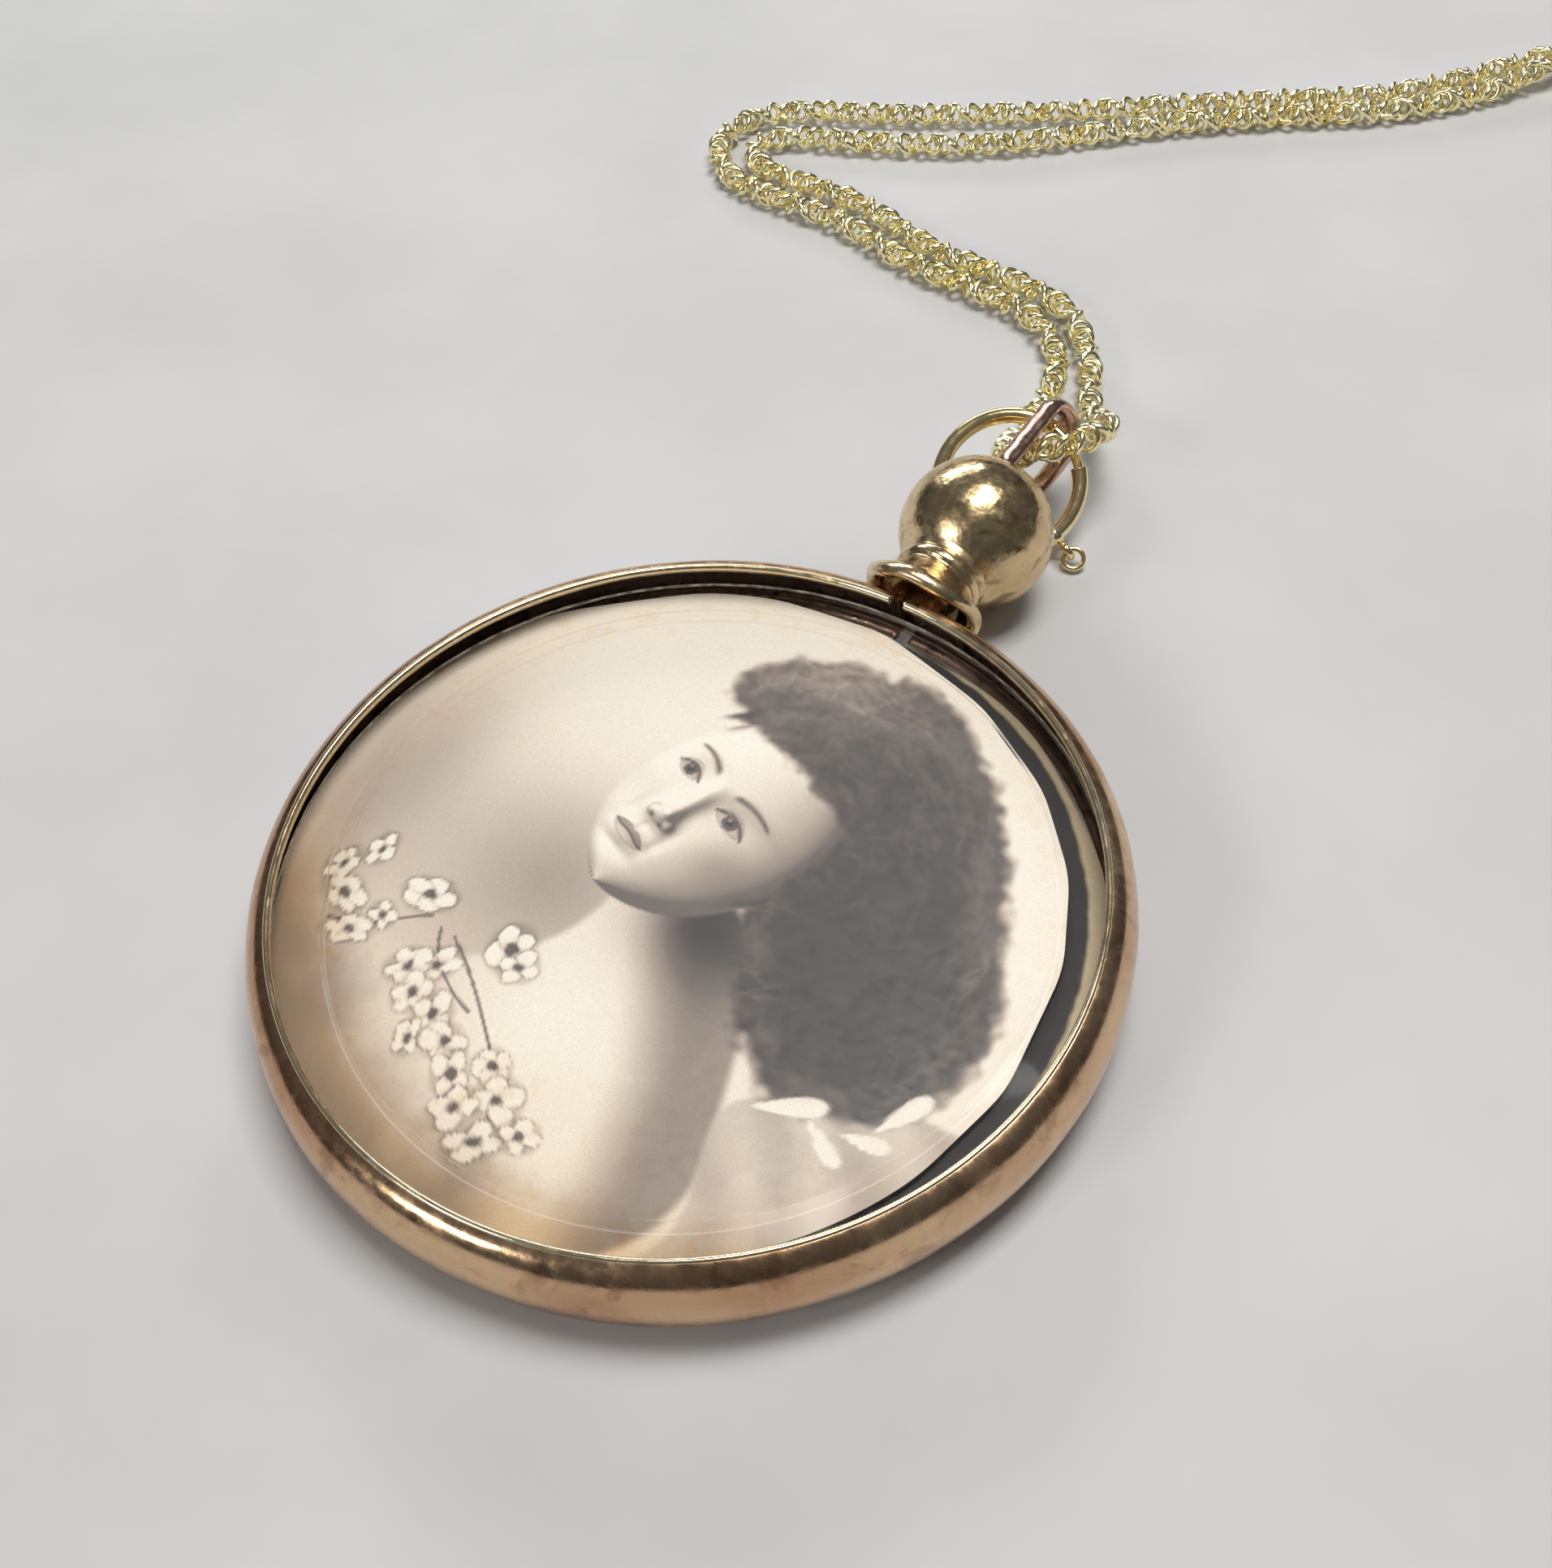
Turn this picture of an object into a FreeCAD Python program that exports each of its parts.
"""Double-sided glass photo locket with a screw-off ball finial, bolt ring and doubled necklace.

Millimetres.  The locket is drawn flat about its own centre: the rim's axis is Z and the finial's
axis is Y.  rest() then lays it down as it lies on a table, on the underside of the ball and the far
edge of the rim.  The bolt ring and the necklace are drawn straight in the table's frame, with Y
still counted from the rim's centre.  The row's origin is under the middle of the locket, on the table.
"""
import FreeCAD
import Part
import math
import os

V = FreeCAD.Vector
X, Y, Z = V(1, 0, 0), V(0, 1, 0), V(0, 0, 1)
ORIGIN = V(0, 0, 0)

# ---------------------------------------------------------------- rim
RIM_R = 19.0            # outermost radius of the rolled rim
LIP_R = 17.53           # radius of the opening between the lips
RIM_HALF_H = 2.235      # half the rim's height
RIM_WALL = 0.35
SPLIT = 0.70            # gap where the rim opens, under the finial

# ---------------------------------------------------------------- glasses and photographs
GLASS_R = 18.05
GLASS_TABLE_R = 15.65   # flat middle, inside the bevel
GLASS_T = 1.30
BEVEL_DROP = 0.60
GLASS_EDGE_CHAMFER = 0.12
BACK_GLASS_Z = -2.10    # outer face of the back glass
STACK_GAP = 0.05
PHOTO_R = 17.20
PHOTO_T = 0.25
PHOTO_SHIFT = V(-1.15, -0.25, 0)      # the paper has slid to one side of the channel
BACK_PHOTO_SHIFT = V(0.69, -0.25, 0)
# straight scissor cuts: direction in degrees, distance from the paper's own centre
SCISSOR_CUTS = [(96, 16.95), (74, 16.7), (58, 16.75), (41, 16.95), (24, 17.05), (6, 16.95),
                (-13, 17.05), (130, 16.9), (205, 16.95), (262, 16.9)]

# ---------------------------------------------------------------- finial
BALL_R = 3.91
BALL_Y = 25.46
BALL_WALL = 0.35
POST_R = 1.25
POST_ROOT_R = 1.09
POST_GAP = 0.50         # between the two half posts
POST_FOOT_R = 1.55
POST_FOOT_Y = 19.75     # top of the plain foot
POST_TOP_Y = 24.60
PITCH = 0.50
BUSH_R = 1.85
BUSH_BORE_R = 1.30
BUSH_ROOT_R = 1.47
BUSH_Y = (20.30, 25.30)
COLLAR_MOUTH_Y = 18.72
COLLAR_MOUTH_R = 2.95
COLLAR_SADDLE_R = 3.4      # the mouth is cut to this curve, so that its sides rise clear of the rim
COLLAR_WAIST_R = 2.10
COLLAR_WAIST_Y = 21.15
COLLAR_BEAD_R = 2.30
COLLAR_WALL = 0.38

LOOP_WIRE = 0.88
LOOP_HALF_W = 1.375     # from the middle of the loop to the middle of its wire
LOOP_BEND_Y = 34.15     # where the legs end and the bend begins
LOOP_TURN = -61.3       # the loop's plane, turned about the finial's axis from flat

# ---------------------------------------------------------------- rest
LEVEL_DROP = BALL_R - math.hypot(RIM_HALF_H, 0.06)
REST_SINE = LEVEL_DROP / (BALL_Y + LIP_R)
REST_TILT = math.degrees(math.asin(REST_SINE))
REST_Z = BALL_R - BALL_Y * REST_SINE
FAR_END_Y = (LOOP_BEND_Y + LOOP_HALF_W + LOOP_WIRE / 2) * math.cos(math.radians(REST_TILT))
MIDDLE_Y = (FAR_END_Y - RIM_R) / 2

# ---------------------------------------------------------------- bolt ring on the loop
BAIL_RING = {"r": 3.72, "wire_r": 0.425, "mouth": (111.0, 150.0), "knob": 172.0, "travel": 36.0,
             "tag": 50.0}
BAIL_RING_CENTRE = V(-1.08, 31.15, 2.54)
BAIL_RING_LEAN = 34.2       # from flat; angles round the ring count from its low side
BAIL_RING_LEAN_TO = -72.6
TAG_RING_R = 0.53
TAG_RING_SECTION = (0.26, 0.30)     # radial and axial thickness of the flat band

# ---------------------------------------------------------------- necklace
CHAIN_D = 1.70
CHAIN_R = CHAIN_D / 2
NECKLACE_LENGTH = 460.0
COIL_CENTRE = V(22.0, 94.2, 0)
COIL_OUTER_TURN = 9.80
COIL_INNER_TURN = 8.05
COIL_START = 150.0          # degrees round the coil, where the strands join it
COIL_STEP = 30.0
COIL_SHRINK_FROM = 270.0    # degrees swept before the turn starts to tighten
COIL_SHRINK_OVER = 120.0
COIL_GAP = 0.03             # between the coil's two layers
COIL_STEPS_A = 20
COIL_STEPS_B = 26
UPPER_LAYER_Z = CHAIN_R + CHAIN_D
CLASP_RING = {"r": 2.00, "wire_r": 0.38, "mouth": (60.0, 100.0), "knob": 118.0, "travel": 34.0,
              "tag": 0.0}
CLASP_LINE = 20.0           # direction of the clasp across the coil
END_RING_R = 0.80
END_RING_WIRE_R = 0.20
EYE_REACH = 2.55            # from a bolt ring's wire to its tag eye, in wire radii

# Each strand as the points its line bends at: from inside the loop, past the bolt ring, to the coil.
STRAND_A = [
    (0.00, 32.55, 4.27), (-1.50, 32.35, 3.45), (-2.75, 33.50, 1.85), (-3.30, 35.60, 1.00),
    (-3.35, 38.20, 0.85), (-3.60, 41.60, 0.85), (-4.90, 44.90, 0.85), (-8.00, 47.40, 0.85),
    (-12.60, 47.90, 0.85), (-17.60, 48.30, 0.85), (-22.60, 50.10, 0.85), (-27.20, 50.20, 0.85),
    (-31.80, 50.50, 0.85), (-35.00, 53.50, 0.85), (-35.10, 57.50, 0.85), (-32.20, 60.40, 0.85),
    (-27.30, 62.40, 0.85), (-22.40, 65.30, 0.85), (-16.60, 68.90, 0.85), (-10.80, 73.40, 0.85),
    (-4.70, 77.50, 0.85), (1.00, 81.40, 0.85), (5.00, 86.30, 0.85), (8.50, 91.60, 0.85),
    (11.80, 96.70, 0.85),
]
STRAND_B = [
    (0.00, 32.55, 4.27), (1.80, 32.80, 5.25), (2.60, 34.90, 5.20), (1.40, 37.10, 3.40),
    (-0.10, 39.30, 1.60), (-1.40, 41.70, 0.95), (-2.75, 44.80, 0.85), (-6.20, 49.10, 0.85),
    (-11.20, 49.90, 0.85), (-16.60, 50.10, 0.85), (-21.60, 52.20, 0.85), (-26.30, 52.70, 0.85),
    (-29.40, 52.50, 0.85), (-32.00, 53.40, 0.85), (-32.60, 55.40, 0.85), (-31.10, 57.20, 0.85),
    (-27.40, 58.50, 0.85),
    (-23.30, 60.30, 0.85), (-18.70, 63.00, 0.85), (-14.00, 67.20, 0.85), (-9.40, 71.60, 0.85),
    (-3.60, 75.90, 0.85), (2.20, 79.70, 0.85), (6.60, 84.80, 0.85), (9.10, 88.80, 1.30),
    (10.80, 92.20, 2.55), (12.70, 96.00, 2.56),
]
# The ends leave the coil's inner turn and curl in to the clasp.
END_A = [(22.00, 86.15, 0.85), (19.20, 86.60, 0.85), (17.30, 88.30, 0.85), (16.60, 90.50, 0.85),
         (17.25, 92.35, 0.85)]
END_B = [(22.00, 102.25, 2.55), (24.20, 101.20, 2.55), (25.55, 99.55, 2.55), (26.20, 97.80, 1.60),
         (25.90, 96.30, 1.00), (25.20, 95.30, 0.95)]


def pol(radius, degrees, z=0.0):
    """A point at a radius and an angle about Z."""
    angle = math.radians(degrees)
    return V(radius * math.cos(angle), radius * math.sin(angle), z)


def smooth(t):
    """0 to 1 with level ends."""
    t = min(max(t, 0.0), 1.0)
    return t * t * (3 - 2 * t)


# ---------------------------------------------------------------- solids from lines
def rounded_path(points):
    """Straight runs joined by tangent arcs, each as large as its two runs allow."""
    edges = []
    radii = []
    last = points[0]
    for before, here, after in zip(points, points[1:], points[2:]):
        back = before - here
        ahead = after - here
        cosine = max(-1.0, min(1.0, back.dot(ahead) / (back.Length * ahead.Length)))
        half_turn = (math.pi - math.acos(cosine)) / 2
        reach = 0.45 * min(back.Length, ahead.Length)
        radius = reach / math.tan(half_turn)
        radii.append(radius)
        back.normalize()
        ahead.normalize()
        start = here + back * reach
        end = here + ahead * reach
        to_centre = back + ahead
        to_centre.normalize()
        centre = here + to_centre * (radius / math.cos(half_turn))
        middle = centre - to_centre * radius
        edges.append(Part.LineSegment(last, start).toShape())
        edges.append(Part.Arc(start, middle, end).toShape())
        last = end
    edges.append(Part.LineSegment(last, points[-1]).toShape())
    return Part.Wire(edges), radii


def tube(points, radius):
    """A round bar along a path of straight runs and tangent arcs."""
    path, radii = rounded_path(points)
    start = path.Edges[0]
    along = start.tangentAt(start.FirstParameter)
    section = Part.Wire([Part.makeCircle(radius, points[0], along)])
    solid = path.makePipeShell([section], True, False)
    return Part.Solid(solid) if solid.ShapeType != "Solid" else solid, radii, path.Length


def disc_ring(inner, outer, low, high, centre=ORIGIN):
    """A flat ring with square edges."""
    solid = Part.makeCylinder(outer, high - low, centre + Z * low)
    return solid.cut(Part.makeCylinder(inner, high - low, centre + Z * low)).Solids[0]


def arc_bar(ring_r, wire_r, start, sweep, bore_r=0.0):
    """A round bar or tube bent about Z, from one angle through a sweep."""
    here = pol(ring_r, start)
    along = pol(1.0, start + 90)
    face = Part.Face(Part.Wire([Part.makeCircle(wire_r, here, along)]))
    if bore_r:
        face = face.cut(Part.Face(Part.Wire([Part.makeCircle(bore_r, here, along)])))
        face = face.Faces[0]
    return face.revolve(ORIGIN, Z, sweep)


# ---------------------------------------------------------------- rim and its stack
def half_ellipse(radius_out, half_height):
    """The face between the opening's cylinder and the rim's rounded outside, in the XZ plane."""
    top = V(LIP_R, 0, half_height)
    bottom = V(LIP_R, 0, -half_height)
    arc = Part.Arc(Part.Ellipse(top, V(radius_out, 0, 0), V(LIP_R, 0, 0)), 0, math.pi).toShape()
    return Part.Face(Part.Wire([arc, Part.LineSegment(bottom, top).toShape()]))


def rim_outside():
    """The rim's outer form, filled up to the opening."""
    return half_ellipse(RIM_R, RIM_HALF_H).revolve(ORIGIN, Z, 360)


def rim_channel():
    section = half_ellipse(RIM_R, RIM_HALF_H).cut(half_ellipse(RIM_R - RIM_WALL, RIM_HALF_H - RIM_WALL))
    ring = section.Faces[0].revolve(ORIGIN, Z, 360)
    gap = Part.makeBox(SPLIT, 6, 6, V(-SPLIT / 2, LIP_R - 2, -3))
    return ring.cut(gap).Solids[0]


def bevelled_glass(outer_face_z, facing):
    """A round glass with a ground bevel on its outer face.  facing is 1 for the front, -1 behind."""
    inner = outer_face_z - facing * GLASS_T
    edge = outer_face_z - facing * BEVEL_DROP
    outline = [
        V(0, 0, inner),
        V(GLASS_R - GLASS_EDGE_CHAMFER, 0, inner),
        V(GLASS_R, 0, inner + facing * GLASS_EDGE_CHAMFER),
        V(GLASS_R, 0, edge),
        V(GLASS_TABLE_R, 0, outer_face_z),
        V(0, 0, outer_face_z),
        V(0, 0, inner),
    ]
    return Part.Face(Part.makePolygon(outline)).revolve(ORIGIN, Z, 360)


def photograph(low_z, mirrored):
    """A card disc trimmed with straight scissor cuts."""
    sheet = Part.makeCylinder(PHOTO_R, PHOTO_T, V(0, 0, low_z))
    for direction, distance in SCISSOR_CUTS:
        angle = 180 - direction if mirrored else direction
        waste = Part.makeBox(6, 30, 2, V(distance, -15, low_z - 1))
        waste.rotate(ORIGIN, Z, angle)
        sheet = sheet.cut(waste)
    sheet.translate(BACK_PHOTO_SHIFT if mirrored else PHOTO_SHIFT)
    return sheet.Solids[0]


BACK_PHOTO_Z = BACK_GLASS_Z + GLASS_T + STACK_GAP
FRONT_PHOTO_Z = BACK_PHOTO_Z + PHOTO_T + STACK_GAP
FRONT_GLASS_Z = FRONT_PHOTO_Z + PHOTO_T + STACK_GAP + GLASS_T


# ---------------------------------------------------------------- finial
def spun(outline):
    """A solid turned about the finial's axis from (radius, y) points."""
    points = [V(r, y, 0) for r, y in outline]
    return Part.Face(Part.makePolygon(points + [points[0]])).revolve(ORIGIN, Y, 360)


def grooves(crest, root, first, last):
    """(radius, y) points of a row of thread grooves, from first to last."""
    points = []
    count = int((last - first) / PITCH)
    for i in range(count):
        base = first + i * PITCH
        points += [(crest, base + 0.12 * PITCH), (root, base + 0.40 * PITCH),
                   (root, base + 0.60 * PITCH), (crest, base + 0.88 * PITCH)]
    return points


def half_post(side, outside):
    outline = [(0, RIM_R - 1.2), (POST_FOOT_R, RIM_R - 1.2), (POST_FOOT_R, POST_FOOT_Y),
               (POST_R, POST_FOOT_Y + 0.15)]
    outline += grooves(POST_R, POST_ROOT_R, POST_FOOT_Y + 0.3, POST_TOP_Y - 0.2)
    outline += [(POST_R, POST_TOP_Y - 0.12), (POST_R - 0.15, POST_TOP_Y), (0, POST_TOP_Y)]
    post = spun(outline).cut(outside)
    half = Part.makeBox(3, 8, 6, V(POST_GAP / 2, RIM_R - 1.5, -3))
    if side < 0:
        half = half.mirror(ORIGIN, X)
    pieces = post.common(half).Solids
    return max(pieces, key=lambda piece: piece.Volume)


def ball_solid(radius):
    return Part.makeSphere(radius, V(0, BALL_Y, 0))


def ball_shell():
    shell = ball_solid(BALL_R).cut(ball_solid(BALL_R - BALL_WALL))
    mouth = Part.makeCylinder(BUSH_R, BALL_R, V(0, BALL_Y - BALL_R - 1, 0), Y)
    return shell.cut(mouth).Solids[0]


def threaded_bush():
    low, high = BUSH_Y
    outline = [(BUSH_BORE_R + 0.12, low), (BUSH_R, low), (BUSH_R, high), (BUSH_BORE_R + 0.12, high)]
    inner = grooves(BUSH_BORE_R, BUSH_ROOT_R, low + 0.15, high - 0.15)
    outline += [(BUSH_BORE_R, high - 0.12)] + inner[::-1] + [(BUSH_BORE_R, low + 0.12)]
    return spun(outline)


def flared_collar():
    """A trumpet whose mouth straddles the rim's crown as a saddle, and a bead under the ball."""
    lip_y = COLLAR_MOUTH_Y + 0.20
    bead_y = BALL_Y - math.sqrt(BALL_R ** 2 - COLLAR_BEAD_R ** 2)
    inner_top = BALL_Y - math.sqrt(BALL_R ** 2 - BUSH_R ** 2) + 0.3
    mouth_r = COLLAR_MOUTH_R
    edges = [
        Part.LineSegment(V(mouth_r - COLLAR_WALL, COLLAR_MOUTH_Y, 0), V(mouth_r - 0.16, COLLAR_MOUTH_Y, 0)),
        Part.Arc(V(mouth_r - 0.16, COLLAR_MOUTH_Y, 0), V(mouth_r, lip_y, 0), V(mouth_r - 0.14, lip_y + 0.2, 0)),
        Part.Arc(V(mouth_r - 0.14, lip_y + 0.2, 0), V(2.28, 20.25, 0), V(COLLAR_WAIST_R, COLLAR_WAIST_Y, 0)),
        Part.Arc(V(COLLAR_WAIST_R, COLLAR_WAIST_Y, 0), V(COLLAR_BEAD_R, COLLAR_WAIST_Y + 0.35, 0),
                 V(COLLAR_WAIST_R + 0.08, COLLAR_WAIST_Y + 0.68, 0)),
        Part.LineSegment(V(COLLAR_WAIST_R + 0.08, COLLAR_WAIST_Y + 0.68, 0), V(COLLAR_BEAD_R, bead_y + 0.3, 0)),
        Part.LineSegment(V(COLLAR_BEAD_R, bead_y + 0.3, 0), V(BUSH_R, inner_top, 0)),
        Part.LineSegment(V(BUSH_R, inner_top, 0), V(BUSH_R, 20.75, 0)),
        Part.Arc(V(BUSH_R, 20.75, 0), V(2.0, 20.0, 0), V(mouth_r - COLLAR_WALL, COLLAR_MOUTH_Y, 0)),
    ]
    face = Part.Face(Part.Wire([edge.toShape() for edge in edges]))
    solid = face.revolve(ORIGIN, Y, 360).cut(ball_solid(BALL_R))
    saddle_y = COLLAR_MOUTH_Y + COLLAR_SADDLE_R
    below = Part.makeBox(8, COLLAR_SADDLE_R + 1, 8, V(-4, COLLAR_MOUTH_Y - 1, -4))
    waste = below.cut(Part.makeCylinder(COLLAR_SADDLE_R, 10, V(0, saddle_y, -5), Z))
    return solid.cut(waste).Solids[0]


def chain_loop():
    """A U of round wire whose legs are soldered to the crown of the ball."""
    across = V(math.cos(math.radians(LOOP_TURN)), 0, math.sin(math.radians(LOOP_TURN)))
    foot = BALL_Y + 2.6
    left = [across * -LOOP_HALF_W + Y * foot, across * -LOOP_HALF_W + Y * LOOP_BEND_Y]
    right = [across * LOOP_HALF_W + Y * LOOP_BEND_Y, across * LOOP_HALF_W + Y * foot]
    crown = Y * (LOOP_BEND_Y + LOOP_HALF_W)
    path = Part.Wire([Part.LineSegment(left[0], left[1]).toShape(),
                      Part.Arc(left[1], crown, right[0]).toShape(),
                      Part.LineSegment(right[0], right[1]).toShape()])
    section = Part.Wire([Part.makeCircle(LOOP_WIRE / 2, left[0], Y)])
    wire = path.makePipeShell([section], True, False)
    return wire.cut(ball_solid(BALL_R)).Solids[0]


# ---------------------------------------------------------------- bolt rings
def bolt_ring(size, name):
    """The pieces of a spring-tongued ring, flat about Z and keyed by node name."""
    r, wire = size["r"], size["wire_r"]
    bore = 0.68 * wire
    tongue_r = 0.58 * wire
    mouth_low, mouth_high = size["mouth"]
    knob, travel = size["knob"], size["travel"]
    sleeve = arc_bar(r, wire, mouth_high, 360 - (mouth_high - mouth_low), bore)
    slot_low = knob - 3
    slot_at = pol(r + 0.62 * wire, slot_low, -0.62 * wire)
    slot_face = Part.Face(Part.Wire([Part.makeCircle(0.36 * wire, slot_at, pol(1, slot_low + 90))]))
    sleeve = sleeve.cut(slot_face.revolve(ORIGIN, Z, travel + 7)).Solids[0]
    tail = knob + 9
    tongue = arc_bar(r, tongue_r, mouth_low - 2.5, tail - mouth_low + 2.5)
    down_out = pol(0.7071, knob, -0.7071)
    stem = Part.makeCylinder(0.24 * wire, 1.35 * wire, pol(r, knob), down_out)
    bead = Part.makeSphere(0.52 * wire, pol(r, knob) + down_out * (1.62 * wire))
    button = stem.fuse(bead).cut(tongue).Solids[0]
    spring = arc_bar(r, 0.55 * wire, tail + 0.5, 2.4 * travel, 0.38 * wire)
    tag = size["tag"]
    half_band = math.degrees(0.62 * wire / r)
    band = arc_bar(r, 1.32 * wire, tag - half_band, 2 * half_band, wire)
    eye_at = pol(r + EYE_REACH * wire, tag)
    eye = Part.makeCylinder(1.32 * wire, 0.72 * wire, eye_at - pol(0.36 * wire, tag + 90), pol(1, tag + 90))
    eye = eye.fuse(band).cut(arc_bar(r, wire, tag - 20, 40))
    eye = eye.cut(Part.makeCylinder(0.78 * wire, 2 * wire, eye_at - pol(wire, tag + 90), pol(1, tag + 90)))
    return {
        name + "_tube": sleeve,
        name + "_tongue": tongue,
        name + "_knob": button,
        name + "_spring": spring,
        name + "_tag": eye.Solids[0],
    }


def leaned(lean, lean_to):
    """The turn that tips a flat piece so that its 0 degree side is the low one and points to lean_to."""
    return FreeCAD.Rotation(Z, lean_to).multiply(FreeCAD.Rotation(Y, lean))


def lay(shape, centre, turn):
    placed = shape.copy()
    placed.Placement = FreeCAD.Placement(centre, turn).multiply(placed.Placement)
    return placed


def tag_eye(size, centre, turn):
    """Where a laid bolt ring's tag eye is, and the direction of its hole."""
    at = turn.multVec(pol(size["r"] + EYE_REACH * size["wire_r"], size["tag"]))
    return centre + at, turn.multVec(pol(1, size["tag"] + 90))


def hung_ring(eye, hole, away, ring_r, shape):
    """Hangs a ring drawn about Z so that its band runs through an eye and its body lies towards away."""
    away = away - hole * away.dot(hole)
    away.normalize()
    axis = away.cross(hole)
    turn = FreeCAD.Rotation(away, hole, axis, "ZXY")
    return lay(shape, eye + away * ring_r, turn)


def bail_ring_nodes():
    """The bolt ring threaded through the loop, and the small band that hangs in its tag."""
    turn = leaned(BAIL_RING_LEAN, BAIL_RING_LEAN_TO)
    nodes = {name: lay(shape, BAIL_RING_CENTRE, turn) for name, shape in bolt_ring(BAIL_RING, "bail_ring").items()}
    eye, hole = tag_eye(BAIL_RING, BAIL_RING_CENTRE, turn)
    outward = turn.multVec(pol(1, BAIL_RING["tag"]))
    radial, axial = TAG_RING_SECTION
    band = disc_ring(TAG_RING_R - radial / 2, TAG_RING_R + radial / 2, -axial / 2, axial / 2)
    nodes["tag_jump_ring"] = hung_ring(eye, hole, outward - Z * 0.1, TAG_RING_R, band)
    return nodes


def clasp_nodes():
    """The necklace's bolt ring inside the coil, with the jump ring at each end of the chain."""
    line = pol(1, CLASP_LINE)
    eye_z = 1.32 * CLASP_RING["wire_r"] + 0.01
    hook_z = END_RING_R + END_RING_WIRE_R
    reach = CLASP_RING["r"] + EYE_REACH * CLASP_RING["wire_r"]
    lean = math.degrees(math.asin((hook_z - eye_z) / (reach + CLASP_RING["r"])))
    centre = COIL_CENTRE + Z * (eye_z + reach * math.sin(math.radians(lean)))
    turn = leaned(lean, CLASP_LINE + 180)
    nodes = {name: lay(shape, centre, turn) for name, shape in bolt_ring(CLASP_RING, "clasp").items()}
    ring = Part.makeTorus(END_RING_R, END_RING_WIRE_R)
    eye, hole = tag_eye(CLASP_RING, centre, turn)
    nodes["end_ring_a"] = hung_ring(eye, hole, line * -1 - Z * 0.19, END_RING_R, ring)
    hooked = COIL_CENTRE + line * (CLASP_RING["r"] + 0.19) + Z * hook_z
    nodes["end_ring_b"] = lay(ring, hooked, FreeCAD.Rotation(Z, line.cross(Z)))
    return nodes


# ---------------------------------------------------------------- necklace
def coil_points(steps, height):
    """Points round the coil, clockwise from where the strands join it: an outer turn, then inner ones."""
    points = []
    for i in range(1, steps + 1):
        swept = i * COIL_STEP
        inward = smooth((swept - COIL_SHRINK_FROM) / COIL_SHRINK_OVER)
        radius = COIL_OUTER_TURN + (COIL_INNER_TURN - COIL_OUTER_TURN) * inward
        points.append(COIL_CENTRE + pol(radius, COIL_START - swept, height))
    return points


def necklace():
    """Two strands from the loop to the coil, the coil's two layers, and the ends that run to the clasp."""
    nodes = {}
    layers = {"a": (STRAND_A, COIL_STEPS_A, CHAIN_R, END_A), "b": (STRAND_B, COIL_STEPS_B, UPPER_LAYER_Z, END_B)}
    for key, (strand, steps, height, end) in layers.items():
        strand = [V(*point) for point in strand]
        end = [V(*point) for point in end]
        solid, radii, length = tube(strand, CHAIN_R)
        nodes["chain_strand_" + key] = solid
        inner = COIL_INNER_TURN - CHAIN_R
        outer = COIL_OUTER_TURN + CHAIN_R
        low = height - CHAIN_R
        nodes["chain_coil_" + key] = disc_ring(inner, outer, low, low + CHAIN_D - COIL_GAP, COIL_CENTRE)
        tail, tail_radii, tail_length = tube(end, CHAIN_R)
        nodes["chain_end_" + key] = tail
        wound = Part.makePolygon([strand[-1]] + coil_points(steps, height) + [end[0]]).Length
        print("strand", key, "run", round(length, 1), "coil", round(wound, 1), "end", round(tail_length, 1),
              "total", round(length + wound + tail_length, 1), "of", NECKLACE_LENGTH / 2)
        print("  radii", [round(value, 1) for value in radii], [round(value, 1) for value in tail_radii])
        print("  volume share", round(solid.Volume / (math.pi * CHAIN_R ** 2 * length), 4))
    return nodes


# ---------------------------------------------------------------- assembly
def rest(shape):
    """Lays a piece of the locket down as it rests on a table."""
    placed = shape.copy()
    placed.rotate(ORIGIN, X, REST_TILT)
    placed.translate(V(0, 0, REST_Z))
    return placed


def locket_nodes():
    outside = rim_outside()
    nodes = {
        "rim_channel": rim_channel(),
        "half_post_left": half_post(-1, outside),
        "half_post_right": half_post(1, outside),
        "front_glass": bevelled_glass(FRONT_GLASS_Z, 1),
        "front_photograph": photograph(FRONT_PHOTO_Z, False),
        "back_photograph": photograph(BACK_PHOTO_Z, True),
        "back_glass": bevelled_glass(BACK_GLASS_Z, -1),
        "ball_shell": ball_shell(),
        "flared_collar": flared_collar(),
        "threaded_bush": threaded_bush(),
        "chain_loop": chain_loop(),
    }
    return {name: rest(shape) for name, shape in nodes.items()}


def all_nodes():
    """Every piece in the row's frame, keyed by node name."""
    nodes = locket_nodes()
    nodes.update(bail_ring_nodes())
    nodes.update(necklace())
    nodes.update(clasp_nodes())
    for shape in nodes.values():
        shape.translate(V(0, -MIDDLE_Y, 0))
    return nodes


def main():
    os.makedirs("parts", exist_ok=True)
    for name, shape in all_nodes().items():
        box = shape.optimalBoundingBox(False)
        print(name, shape.ShapeType, shape.isValid(), round(shape.Volume, 3),
              [round(v, 2) for v in (box.XMin, box.XMax, box.YMin, box.YMax, box.ZMin, box.ZMax)])
        shape.exportStep("parts/" + name + ".step")


if __name__ == "__main__":
    main()
